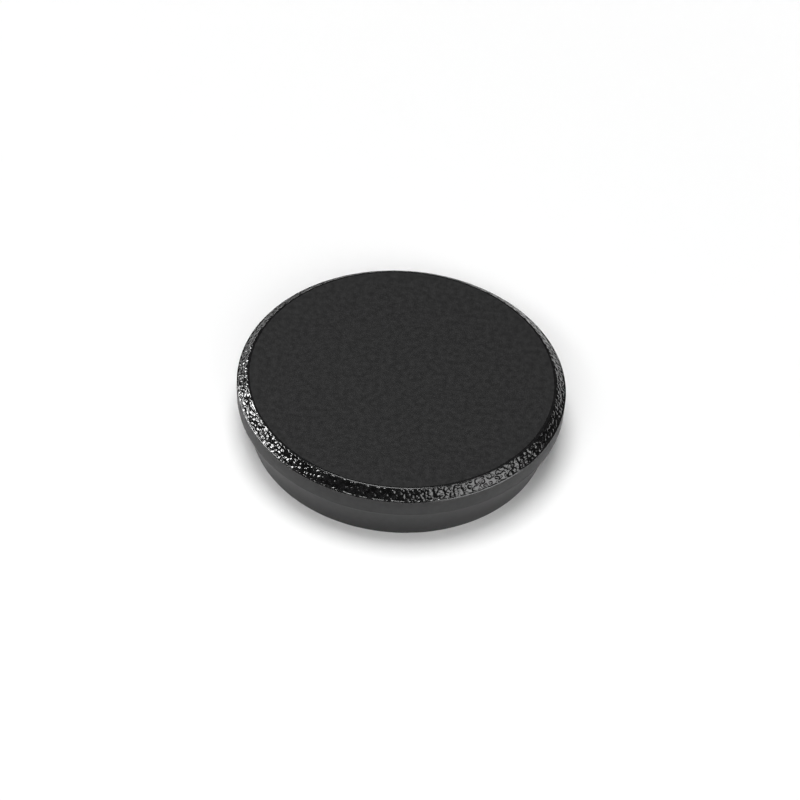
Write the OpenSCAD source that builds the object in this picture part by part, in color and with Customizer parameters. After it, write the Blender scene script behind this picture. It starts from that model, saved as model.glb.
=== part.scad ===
// Round board magnet: a hollow moulded cap with a ferrite disc pressed into its open side.
// Millimetres, +Z up. The origin is the middle of the side that lies on the board.

/* [Overall size] */
// Diameter over the rim, the widest edge
rim_d = 32; // [24:0.5:40]
// Height from the board to the flat top
height = 6.7; // [6.5:0.1:8]

/* [Top] */
// Width of the bevel, from the flat top's edge out to the rim
bevel_w = 1.05; // [0.8:0.05:1.5]
// How far the rim lies below the flat top
bevel_drop = 0.9; // [0.6:0.05:1.1]
// Radius of the edge between the flat top and the bevel
top_edge_r = 0.25; // [0.1:0.05:0.4]
// Radius of the rim, where the two halves of the mould meet
rim_edge_r = 0.08; // [0.05:0.01:0.15]

/* [Lip and skirt] */
// Height of the upright lip below the rim
lip_h = 1.95; // [1.2:0.05:2.1]
// Draft of the lip in degrees, narrower downwards
lip_draft = 1.5; // [0.5:0.5:3]
// Radius of the lip's lower edge
lip_edge_r = 0.3; // [0.1:0.05:0.35]
// How far the skirt steps back under the lip
lip_step = 0.9; // [0.85:0.05:1.2]
// Radius of the hollow between the lip and the skirt
cove_r = 0.4; // [0.1:0.05:0.45]
// How far the skirt leans in between the lip and the board
skirt_taper = 0.6; // [0.2:0.05:0.8]
// Radius of the skirt's lower edge
base_edge_r = 0.15; // [0.1:0.05:0.5]

/* [Inside of the cap] */
// Thickness of the flat top wall
top_wall = 1.5; // [1.2:0.1:1.8]
// Thickness of the skirt at the board
skirt_wall = 1.6; // [1.4:0.05:2]
// Draft of the pocket wall in degrees, wider at the mouth
pocket_draft = 1; // [0.5:0.5:1.5]
// Radius between the pocket wall and its ceiling
pocket_r = 0.5; // [0.2:0.1:0.8]
// Lead-in bevel at the pocket's mouth
mouth_bevel = 0.25; // [0.1:0.05:0.4]
// Number of stepped ribs that centre the disc and stop it
rib_count = 8; // [6:1:12]
// Width of a rib's upper part, which the disc's back rests on
rib_w = 1.4; // [1:0.1:2]
// How far a rib's upper part reaches in over the disc
rib_reach = 1.5; // [1:0.1:2.5]

/* [Magnet] */
// Thickness of the ferrite disc
disc_h = 3; // [2.5:0.1:3.2]
// Gap between the disc and the pocket wall at its mouth, which the ribs bridge
disc_gap = 0.4; // [0.3:0.05:0.5]
// How far the disc's face stays above the board
disc_recess = 0.15; // [0.1:0.05:0.3]
// Broken edges of the disc
disc_bevel = 0.3; // [0.2:0.05:0.5]

/* [Hidden] */
$fn = 180;

// Radii of the outside, from the top down
rim_r = rim_d / 2;
top_r = rim_r - bevel_w;
lip_foot_r = rim_r - lip_h * tan(lip_draft);
skirt_r = rim_r - lip_step;
base_r = skirt_r - skirt_taper;

// Heights above the board
rim_z = height - bevel_drop;
lip_z = rim_z - lip_h;
ceiling_z = height - top_wall;
seat_z = disc_recess + disc_h;

// Radii of the pocket and of what sits in it
mouth_r = base_r - skirt_wall;
ceiling_r = mouth_r - (ceiling_z - mouth_bevel) * tan(pocket_draft);
disc_r = mouth_r - disc_gap;

// Slope of the bevel from the level, and lean of the skirt from the upright
bevel_angle = atan2(bevel_drop, bevel_w);
skirt_angle = atan2(skirt_taper, lip_z);

// How deep a rib runs on into the wall and the ceiling that carry it
rib_root = 0.3;
// Height at which the half-round ribs start, so that the disc finds its way in
grip_z = 0.7;

function unit(a) = [cos(a), sin(a)];

// Points round a corner, where the surface turns from facing angle a to facing angle b.
// A radius above nought rounds an outer edge, and one below nought fills a hollow one.
function rounded(corner, a, b, r, steps = 8) =
    let (middle = corner - r * (unit(a) + unit(b)) / (1 + unit(a) * unit(b)))
    [for (i = [0:steps]) middle + r * unit(a + (b - a) * i / steps)];

// Half of the moulding's section: down the outside, under the skirt and up into the pocket
function cap_section() = concat(
    [[0, height]],
    rounded([top_r, height], 90, 90 - bevel_angle, top_edge_r),
    rounded([rim_r, rim_z], 90 - bevel_angle, -lip_draft, rim_edge_r),
    rounded([lip_foot_r, lip_z], -lip_draft, -90, lip_edge_r),
    rounded([skirt_r, lip_z], -90, -skirt_angle, -cove_r),
    rounded([base_r, 0], -skirt_angle, -90, base_edge_r),
    [[mouth_r + mouth_bevel, 0], [mouth_r, mouth_bevel]],
    rounded([ceiling_r, ceiling_z], 180 + pocket_draft, 270, -pocket_r),
    [[0, ceiling_z]]
);

// One rib: a block over the disc's back, and a half-round below it that grips the disc's edge
module stepped_rib() {
    translate([disc_r - rib_reach, -rib_w / 2, seat_z])
        cube([rib_reach + disc_gap + rib_root, rib_w, ceiling_z - seat_z + rib_root]);
    translate([disc_r + disc_gap, 0, grip_z])
        cylinder(r = disc_gap, h = seat_z - grip_z + rib_root);
}

// The moulding: one revolved shell, open towards the board, with its ribs inside
module cap() {
    color([0.19, 0.19, 0.19]) {
        rotate_extrude()
            polygon(cap_section());
        for (i = [0:rib_count - 1])
            rotate([0, 0, 360 / rib_count * i])
                stepped_rib();
    }
}

// The sintered ferrite disc, with both edges broken
module magnet_disc() {
    color([0.24, 0.24, 0.25])
        translate([0, 0, disc_recess])
            rotate_extrude()
                polygon([
                    [0, 0],
                    [disc_r - disc_bevel, 0],
                    [disc_r, disc_bevel],
                    [disc_r, disc_h - disc_bevel],
                    [disc_r - disc_bevel, disc_h],
                    [0, disc_h]
                ]);
}

cap();
magnet_disc();
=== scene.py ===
import math

import bmesh
import bpy
from mathutils import Matrix, Vector, noise


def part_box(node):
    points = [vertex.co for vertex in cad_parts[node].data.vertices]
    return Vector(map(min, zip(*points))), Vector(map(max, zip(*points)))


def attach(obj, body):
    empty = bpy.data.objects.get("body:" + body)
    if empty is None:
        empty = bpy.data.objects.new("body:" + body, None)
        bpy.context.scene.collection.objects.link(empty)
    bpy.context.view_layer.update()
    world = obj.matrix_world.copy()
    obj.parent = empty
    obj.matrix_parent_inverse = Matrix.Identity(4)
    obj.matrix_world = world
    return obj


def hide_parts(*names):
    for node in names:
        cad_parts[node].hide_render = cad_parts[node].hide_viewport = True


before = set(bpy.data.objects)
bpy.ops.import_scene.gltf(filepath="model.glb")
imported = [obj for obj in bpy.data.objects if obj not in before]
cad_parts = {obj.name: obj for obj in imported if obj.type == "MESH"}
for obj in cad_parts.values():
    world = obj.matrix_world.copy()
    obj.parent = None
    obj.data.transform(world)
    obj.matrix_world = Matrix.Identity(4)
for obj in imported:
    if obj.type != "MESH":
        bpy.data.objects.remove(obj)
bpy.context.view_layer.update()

# The cap is one black polystyrene moulding, open towards the board. Its section is turned round the
# middle axis, and the two halves of its mould meet at the rim.

MM = 0.001
cap_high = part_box("cap")[1]
height = cap_high.z
rim_r = cap_high.x
bevel_w = 1.05 * MM
bevel_drop = 0.9 * MM
top_r = rim_r - bevel_w
rim_z = height - bevel_drop
lip_h = 1.95 * MM
lip_draft = math.radians(1.5)
lip_z = rim_z - lip_h
lip_foot_r = rim_r - lip_h * math.tan(lip_draft)
lip_step = 0.9 * MM
skirt_taper = 0.6 * MM
skirt_wall = 1.6 * MM
skirt_r = rim_r - lip_step
base_r = skirt_r - skirt_taper
mouth_r = base_r - skirt_wall
mouth_bevel = 0.25 * MM
mouth_edge_r = 0.05 * MM
top_wall = 1.5 * MM
ceiling_z = height - top_wall
pocket_draft = math.radians(1)
ceiling_r = mouth_r - (ceiling_z - mouth_bevel) * math.tan(pocket_draft)

# Corners of the section from the flat top down the outside and up into the pocket: how far out,
# how high, and the radius that each is rounded with
cap_corners = [
    (top_r, height, 0.25 * MM),
    (rim_r, rim_z, 0.02 * MM),
    (lip_foot_r, lip_z, 0.3 * MM),
    (skirt_r, lip_z, 0.4 * MM),
    (base_r, 0, 0.15 * MM),
    (mouth_r + mouth_bevel, 0, mouth_edge_r),
    (mouth_r, mouth_bevel, mouth_edge_r),
    (ceiling_r, ceiling_z, 0.5 * MM),
]
ring_reach = 0.002 * MM


def on_ring(vert, out, up):
    """Whether a vertex lies on the ring of that radius and height."""
    return abs(vert.co.xy.length - out) < ring_reach and abs(vert.co.z - up) < ring_reach


def turned(corners, steps, segments):
    """A closed shell: the section is spun, its open ends are filled, and each corner is rounded."""
    bm = bmesh.new()
    line = [bm.verts.new((out, 0, up)) for out, up, _ in corners]
    edges = [bm.edges.new(pair) for pair in zip(line, line[1:])]
    bmesh.ops.spin(
        bm, geom=line + edges, axis=(0, 0, 1), cent=(0, 0, 0), angle=math.tau,
        steps=steps, use_merge=True
    )
    bmesh.ops.holes_fill(bm, edges=[e for e in bm.edges if e.is_boundary], sides=0)
    bmesh.ops.recalc_face_normals(bm, faces=bm.faces)
    places = [Vector((out, up)) for out, up, _ in corners]
    places = [Vector((0, places[0].y))] + places + [Vector((0, places[-1].y))]
    for i, (out, up, radius) in enumerate(corners):
        before = places[i + 1] - places[i]
        after = places[i + 2] - places[i + 1]
        turn = before.angle(after)
        ring = [e for e in bm.edges if all(on_ring(v, out, up) for v in e.verts)]
        bmesh.ops.bevel(
            bm, geom=ring, offset=radius * math.tan(turn / 2), offset_type="OFFSET", affect="EDGES",
            segments=segments, profile=0.5, material=-1, clamp_overlap=True, loop_slide=True
        )
    return bm


cap_bm = turned(cap_corners, steps=480, segments=4)

# Eight stepped ribs are moulded inside the pocket, in one piece with the cap. The block of each
# stops the disc's back, and the half-round below it grips the disc's edge.

rib_count = 8
rib_w = 1.4 * MM
rib_reach = 1.5 * MM
rib_root = 0.3 * MM
rib_edge = 0.06 * MM
grip_z = 0.7 * MM
disc_low, disc_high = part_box("magnet_disc")
disc_r = disc_high.x
disc_gap = 0.4 * MM
seat_z = disc_high.z
rib_len = rib_reach + disc_gap + rib_root
rib_tall = ceiling_z + rib_root - seat_z
grip_tall = seat_z - grip_z + rib_root


def rib_bm(turn):
    """One rib, turned to its place round the pocket."""
    bm = bmesh.new()
    middle = Vector((disc_r - rib_reach + rib_len / 2, 0, seat_z + rib_tall / 2))
    block = Matrix.Translation(middle) @ Matrix.Diagonal((rib_len, rib_w, rib_tall, 1))
    bmesh.ops.create_cube(bm, size=1, matrix=block)
    bmesh.ops.bevel(
        bm, geom=bm.edges[:], offset=rib_edge, affect="EDGES", segments=2, profile=0.5, material=-1
    )
    bmesh.ops.transform(bm, matrix=turn, verts=bm.verts)
    return bm


def grip_bm(turn):
    """The half-round under one rib."""
    bm = bmesh.new()
    bmesh.ops.create_cone(
        bm, cap_ends=True, segments=32, radius1=disc_gap, radius2=disc_gap, depth=grip_tall,
        matrix=turn @ Matrix.Translation((disc_r + disc_gap, 0, grip_z + grip_tall / 2))
    )
    return bm


def as_object(name, bm):
    """A mesh object from a bmesh, which is used up."""
    mesh = bpy.data.meshes.new(name)
    bm.to_mesh(mesh)
    bm.free()
    obj = bpy.data.objects.new(name, mesh)
    bpy.context.collection.objects.link(obj)
    return obj


def joined(body_bm, parts):
    """The union of a solid and the solids that grow out of it."""
    body = as_object("body", body_bm)
    extras = [as_object("extra", part) for part in parts]
    for extra in extras:
        union = body.modifiers.new("union", "BOOLEAN")
        union.operation = "UNION"
        union.solver = "EXACT"
        union.object = extra
    merged = bmesh.new()
    merged.from_object(body, bpy.context.evaluated_depsgraph_get())
    for obj in [body] + extras:
        bpy.data.objects.remove(obj)
    return merged


turns = [Matrix.Rotation(math.tau * i / rib_count, 4, "Z") for i in range(rib_count)]
cap_bm = joined(cap_bm, [make(turn) for turn in turns for make in (rib_bm, grip_bm)])

# The bevel has a coarse grain, etched into the mould: rounded pebbles between narrow valleys. It
# fades out just short of the flat top's edge and of the rim.

pebble_along = 0.39 * MM
pebble_across = 0.34 * MM
pebble_bend = 0.3
pebble_fall = 2.4
valley_sharpness = 12
grain_depth = 0.065 * MM
grain_rise = 0.07 * MM
grain_start = 20
grain_seed = 3
inner_margin = 0.095 * MM
outer_margin = 0.10 * MM
strip_rows = 30
strip_columns = 4
bevel_angle = math.atan2(bevel_drop, bevel_w)
bevel_slant = math.hypot(bevel_drop, bevel_w)
bevel_out = math.sin(bevel_angle)
bevel_up = math.cos(bevel_angle)
slope_reach = 0.004 * MM
level_reach = 1e-5 * MM
corner_share = 0.02


def smooth_step(low, high, value):
    """Nought below low, one above high, and smooth between them."""
    t = min(max((value - low) / (high - low), 0), 1)
    return t * t * (3 - 2 * t)


def grain(way, share):
    """Height of the grain at a way out and a share of the slope, 0 in a valley and 1 on a pebble."""
    down = grain_start + share * bevel_slant / pebble_across
    spot = way.to_3d() * (rim_r / pebble_along) + Vector((0, 0, down))
    bend = noise.noise_vector(spot) * pebble_bend
    far = noise.voronoi(spot + bend)[0]
    out = -math.log(sum(math.exp(-valley_sharpness * d) for d in far)) / valley_sharpness
    return max(1 - pebble_fall * max(out, 0) ** 2, 0)


def slope_place(co):
    """How far down the bevel a point is, from 0 at its upper corner to 1 at the rim."""
    return (height - co.z) / bevel_drop


def on_slope(co):
    """Whether a point lies on the straight part of the bevel."""
    place = slope_place(co)
    return 0 < place < 1 and abs(co.xy.length - top_r - place * bevel_w) < slope_reach


# The strips between the bevel's straight edges are divided into rows and columns fine enough for it
slopes = []
for e in cap_bm.edges:
    a, b = (v.co for v in e.verts)
    if abs(a.z - b.z) > bevel_drop / 2 and on_slope((a + b) / 2):
        slopes.append(e)
bmesh.ops.subdivide_edges(cap_bm, edges=slopes, cuts=strip_rows - 1, use_grid_fill=False)
level = []
for e in cap_bm.edges:
    a, b = (v.co for v in e.verts)
    is_level = abs(a.z - b.z) < level_reach
    if is_level and on_slope(a) and corner_share < slope_place(a) < 1 - corner_share:
        level.append(e)
bmesh.ops.subdivide_edges(
    cap_bm, edges=level, cuts=strip_columns - 1, use_grid_fill=True, use_single_edge=True
)
noise.seed_set(grain_seed)
pebbles = cap_bm.verts.layers.float.new("pebbles")
for v in cap_bm.verts:
    v[pebbles] = 1
    if on_slope(v.co):
        share = slope_place(v.co)
        inner = smooth_step(inner_margin, inner_margin + grain_rise, share * bevel_slant)
        outer = smooth_step(outer_margin, outer_margin + grain_rise, (1 - share) * bevel_slant)
        fade = inner * outer
        way = v.co.xy.normalized()
        raised = grain(way, share)
        v[pebbles] = 1 - fade + fade * raised
        shift = (raised - share) * grain_depth * fade
        v.co += Vector((way.x * bevel_out, way.y * bevel_out, bevel_up)) * shift

# All of the cap is the same black plastic. The mould leaves it three finishes: a fine matt top, a
# glossy grain on the bevel and smooth sides, duller on the lip. The grain's valleys get painted shade.

sharp_angle = math.radians(40)


class Wire:
    """A socket that takes part in sums, so that shader maths reads as an expression."""

    def __init__(self, socket):
        self.socket = socket

    def sum(self, operation, *values):
        tree = self.socket.id_data
        node = tree.nodes.new("ShaderNodeMath")
        node.operation = operation
        for slot, value in zip(node.inputs, values):
            if isinstance(value, Wire):
                tree.links.new(value.socket, slot)
            else:
                slot.default_value = value
        return Wire(node.outputs[0])

    def __add__(self, other):
        return self.sum("ADD", self, other)

    def __sub__(self, other):
        return self.sum("SUBTRACT", self, other)

    def __rsub__(self, other):
        return self.sum("SUBTRACT", other, self)

    def __mul__(self, other):
        return self.sum("MULTIPLY", self, other)

    __radd__ = __add__
    __rmul__ = __mul__


class Finish:
    """The nodes of a material or of the world. add() makes one from its type, settings and sockets."""

    def __init__(self, owner):
        self.owner = owner
        owner.use_nodes = True
        self.tree = owner.node_tree
        self.tree.nodes.clear()

    def add(self, kind, settings=None, sockets=None, output=0):
        node = self.tree.nodes.new("ShaderNode" + kind)
        for name, value in (settings or {}).items():
            setattr(node, name, value)
        for name, value in (sockets or {}).items():
            if isinstance(value, Wire):
                self.tree.links.new(value.socket, node.inputs[name])
            else:
                node.inputs[name].default_value = value
        return Wire(node.outputs[output])

    def place(self):
        """Object coordinates in millimetres."""
        spot = self.add("TexCoord", output="Object")
        return self.add("VectorMath", {"operation": "SCALE"}, {0: spot, "Scale": 1 / MM})

    def noise(self, place, scale, detail):
        """Noise from 0 to 1."""
        return self.add("TexNoise", sockets={"Vector": place, "Scale": scale, "Detail": detail})

    def band(self, value, low, high):
        """Nought below low, one above high, and smooth between them."""
        ends = {"Value": value, "From Min": low, "From Max": high}
        return self.add("MapRange", {"interpolation_type": "SMOOTHSTEP"}, ends)

    def tint(self, share, first, second):
        """A colour between two, by share."""
        ends = {0: share, 6: (*first, 1), 7: (*second, 1)}
        return self.add("Mix", {"data_type": "RGBA"}, ends, output=2)

    def end(self, shader, output="OutputMaterial"):
        out = self.tree.nodes.new("ShaderNode" + output)
        self.tree.links.new(shader.socket, out.inputs["Surface"])
        return self.owner


def piece(name, bm, material):
    """A finished piece on the body, smooth apart from its sharp edges."""
    for e in bm.edges:
        e.smooth = e.is_manifold and e.calc_face_angle() < sharp_angle
    for face in bm.faces:
        face.smooth = True
    obj = as_object(name, bm)
    obj.data.materials.append(material)
    even = obj.modifiers.new("even_normals", "WEIGHTED_NORMAL")
    even.keep_sharp = True
    even.weight = 60
    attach(obj, "root")
    return obj


grain_rough = 0.12
top_rough = 0.29
mottle_rough = 0.10
side_rough = 0.23
lip_rough = 0.27
fine_rough = 0.06
texture_depth = 0.02 * MM
# Share of the colour that is kept in the grain's valleys, as painted shade
valley_painted_shade = 0.3
speck_share = 0.35
darkest = (0.0064, 0.0064, 0.0066)
lightest = (0.0160, 0.0160, 0.0162)

# Where one finish passes into the next, in millimetres from the edges of the top, rim and lip
top_near, top_far = 0.1, 0.2
rim_above, rim_below = 0.02, 0.08
lip_below = 0.1

plastic = Finish(bpy.data.materials.new("black_moulded_plastic"))
spot = plastic.place()
across = plastic.add("VectorMath", {"operation": "MULTIPLY"}, {0: spot, 1: (1, 1, 0)})
out_mm = plastic.add("VectorMath", {"operation": "LENGTH"}, {0: across}, "Value")
up_mm = plastic.add("SeparateXYZ", sockets={0: spot}, output="Z")
raised = plastic.add("Attribute", {"attribute_name": "pebbles"}, output="Fac")
inside_edge = 1 - plastic.band(out_mm, top_r / MM - top_far, top_r / MM - top_near)
on_top = inside_edge * plastic.band(up_mm, height / MM - top_far, height / MM - top_near)
below_rim = 1 - plastic.band(up_mm, rim_z / MM - rim_below, rim_z / MM + rim_above)
fine = plastic.noise(spot, scale=5.5, detail=3)
mottle = plastic.noise(spot, scale=1.8, detail=2)
clouds = plastic.noise(spot, scale=0.35, detail=2)
on_lip = below_rim * plastic.band(up_mm, lip_z / MM - lip_below, lip_z / MM)
rough = grain_rough + on_top * (top_rough + mottle * mottle_rough)
rough = rough + below_rim * side_rough + on_lip * lip_rough + (fine - 0.5) * fine_rough
specks = plastic.band(fine, 0.5, 0.75) * plastic.band(clouds, 0.45, 0.65)
pale = plastic.band(mottle, 0.3, 0.7) * (1 - speck_share) + specks * speck_share
black = plastic.tint(pale, darkest, lightest)
# Painted shade: the colour is darkened in the grain's valleys, where shade falls.
painted_shade = plastic.tint(raised * (1 - valley_painted_shade) + valley_painted_shade, (0, 0, 0), (1, 1, 1))
black = plastic.add("VectorMath", {"operation": "MULTIPLY"}, {0: black, 1: painted_shade})
texture = on_top * fine + (1 - on_top) * 0.5
bumps = plastic.add("Bump", sockets={"Height": texture, "Strength": 0.6, "Distance": texture_depth})
plastic_shader = plastic.add(
    "BsdfPrincipled", sockets={"Base Color": black, "Roughness": rough, "IOR": 1.59, "Normal": bumps}
)

cap = piece("cap_moulding", cap_bm, plastic.end(plastic_shader))
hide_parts("cap")

# The magnet is a disc of sintered ferrite, ground flat on both faces, with its edges broken. It is
# pressed between the ribs, and its face stays a little above the board.

disc_bevel = 0.3 * MM
disc_edge_r = 0.06 * MM
disc_corners = [
    (disc_r - disc_bevel, disc_high.z, disc_edge_r),
    (disc_r, disc_high.z - disc_bevel, disc_edge_r),
    (disc_r, disc_low.z + disc_bevel, disc_edge_r),
    (disc_r - disc_bevel, disc_low.z, disc_edge_r),
]
ground_rough = 0.30
marks_depth = 0.01 * MM
dark_grey = (0.030, 0.030, 0.032)
mid_grey = (0.070, 0.070, 0.073)

ferrite = Finish(bpy.data.materials.new("sintered_ferrite"))
spot = ferrite.place()
grains = ferrite.noise(spot, scale=6, detail=4)
stretched = ferrite.add("VectorMath", {"operation": "MULTIPLY"}, {0: spot, 1: (0.25, 9, 1)})
grinding = ferrite.noise(stretched, scale=1.2, detail=3)
grey = ferrite.tint(ferrite.band(grains, 0.3, 0.7), dark_grey, mid_grey)
rough = ground_rough + grains * 0.15 + grinding * 0.25
relief = grains * 0.5 + grinding * 0.5
marks = ferrite.add("Bump", sockets={"Height": relief, "Strength": 0.4, "Distance": marks_depth})
ferrite_shader = ferrite.add(
    "BsdfPrincipled", sockets={"Base Color": grey, "Roughness": rough, "IOR": 1.9, "Normal": marks}
)
disc_bm = turned(disc_corners, steps=256, segments=3)
disc = piece("ferrite_disc", disc_bm, ferrite.end(ferrite_shader))
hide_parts("magnet_disc")

# The magnet lies on a white sheet, which keeps its shadow and is plain white further off. Behind the
# magnet, only reflections see the sheet dark grey: a painted reflection that draws the dark line at the
# back.

sheet_drop = 0.005 * MM
paper_white = (0.98, 0.98, 0.98, 1)
# The grey of the painted dark reflection behind the magnet
painted_reflection_grey = (0.15, 0.15, 0.15, 1)
near_glow = 0.02
# Painted reflection: the sheet glows this much more to reflections alone, lightening the floor seen in
# the plastic
painted_reflection_glow = 0.06

# In millimetres: where the sheet turns plain white, and the middle and reach of the painted dark
# reflection
white_from, white_by = 40, 600
painted_reflection_place = (-6, 28, 0)
painted_reflection_core, painted_reflection_fade = 10, 25

floor_bm = bmesh.new()
bmesh.ops.create_grid(floor_bm, x_segments=1, y_segments=1, size=3)
floor = as_object("floor", floor_bm)
floor.location.z = -sheet_drop
sheet = Finish(bpy.data.materials.new("white_sheet"))
seen = sheet.add("LightPath", output="Is Camera Ray")
mirrored = sheet.add("LightPath", output="Is Glossy Ray")
spot = sheet.place()
from_middle = sheet.add("VectorMath", {"operation": "LENGTH"}, {0: spot}, "Value")
far = sheet.band(from_middle, white_from, white_by)
paper = sheet.add("BsdfDiffuse", sockets={"Color": paper_white})
# Glow that the camera sees makes the sheet plain white. Glow that only reflections see is a painted
# reflection.
lit = seen * (near_glow + far) + mirrored * painted_reflection_glow
glow = sheet.add("Emission", sockets={"Color": (1, 1, 1, 1), "Strength": lit})
white = sheet.add("AddShader", sockets={0: paper, 1: glow})
# Painted reflection: seen only in reflections, the sheet behind the magnet turns dark grey.
painted_dark_reflection = sheet.add("BsdfDiffuse", sockets={"Color": painted_reflection_grey})
from_painted_reflection = sheet.add("VectorMath", {"operation": "DISTANCE"}, {0: spot, 1: painted_reflection_place}, "Value")
on_painted_reflection = mirrored * (1 - sheet.band(from_painted_reflection, painted_reflection_core, painted_reflection_fade))
ground = sheet.add("MixShader", sockets={0: on_painted_reflection, 1: white, 2: painted_dark_reflection})
floor.data.materials.append(sheet.end(ground))

# The room is dim, but white to the eye, so that the black plastic shows the lamps and not walls.

room_light = 0.04
room = Finish(bpy.data.worlds.new("studio"))
seen = room.add("LightPath", output="Is Camera Ray")
dim = room.add("Background", sockets={"Color": (1, 1, 1, 1), "Strength": room_light})
white = room.add("Background", sockets={"Color": (1, 1, 1, 1), "Strength": 1.0})
either = room.add("MixShader", sockets={0: seen, 1: dim, 2: white})
bpy.context.scene.world = room.end(either, "OutputWorld")

# Two soft boxes give the light and the soft shadow, one overhead and one in front, behind filters
# that keep them out of reflections. The gloss on the plastic comes from a long bright strip on the
# left, a pale card with a brighter core on the right, and a narrow card overhead.

lamp_distance = 1.2


def softbox(name, first, last, breadth, radiance):
    """An oval lamp that spans two directions seen from the magnet, with a given brightness."""
    first, last = Vector(first).normalized(), Vector(last).normalized()
    way = (first + last).normalized()
    along = (last - first).normalized()
    lamp = bpy.data.lights.new(name, "AREA")
    lamp.shape = "ELLIPSE"
    lamp.size = 2 * lamp_distance * math.tan(first.angle(last) / 2)
    lamp.size_y = breadth
    lamp.energy = radiance * lamp.size * lamp.size_y * math.pi
    obj = bpy.data.objects.new(name, lamp)
    bpy.context.collection.objects.link(obj)
    turn = Matrix((along, way.cross(along), way)).transposed()
    obj.location = way * lamp_distance + Vector((0, 0, rim_z))
    obj.rotation_mode = "QUATERNION"
    obj.rotation_quaternion = turn.to_quaternion()
    return obj


overhead = softbox("overhead_box", (0.05, 0.31, 0.95), (-0.17, -0.22, 0.96), breadth=0.77, radiance=5.9)
front = softbox("front_box", (-0.57, -0.47, 0.68), (0.45, -0.78, 0.45), breadth=0.345, radiance=5.0)
for light in (overhead, front):
    light.visible_glossy = False
strip = softbox("left_strip", (-0.71, -0.10, 0.71), (-0.75, 0.62, 0.29), breadth=0.275, radiance=18.5)
card = softbox("right_card", (0.33, -0.62, 0.71), (0.86, -0.03, 0.50), breadth=1.05, radiance=1.7)
core = softbox("right_core", (0.38, -0.64, 0.66), (0.88, -0.05, 0.46), breadth=0.36, radiance=1.8)
glint = softbox("glint_card", (-0.34, 0.12, 0.93), (0.20, 0.02, 0.98), breadth=0.19, radiance=9.8)
for gloss in (strip, card, core, glint):
    gloss.visible_diffuse = False

# The camera stands where the photograph was taken from, tilted a little to one side.

picture = 800
rim_px = 164.76
middle_px = Vector((401.59, 383.45))
elevation = math.radians(44.69)
roll = math.radians(4.07)
distance = 25 * rim_r
camera_data = bpy.data.cameras.new("camera")
camera_data.sensor_width = 36
camera_data.lens = rim_px / rim_r * distance / picture * camera_data.sensor_width
camera_data.shift_x = (picture / 2 - middle_px.x) / picture
camera_data.shift_y = (middle_px.y - picture / 2) / picture
camera_data.clip_start = 0.01
camera = bpy.data.objects.new("camera", camera_data)
bpy.context.collection.objects.link(camera)
camera.location = (0, -math.cos(elevation) * distance, rim_z + math.sin(elevation) * distance)
camera.rotation_mode = "QUATERNION"
aim = Matrix.Rotation(math.pi / 2 - elevation, 4, "X") @ Matrix.Rotation(roll, 4, "Z")
camera.rotation_quaternion = aim.to_quaternion()
bpy.context.scene.camera = camera
bpy.context.scene.view_settings.view_transform = "Standard"
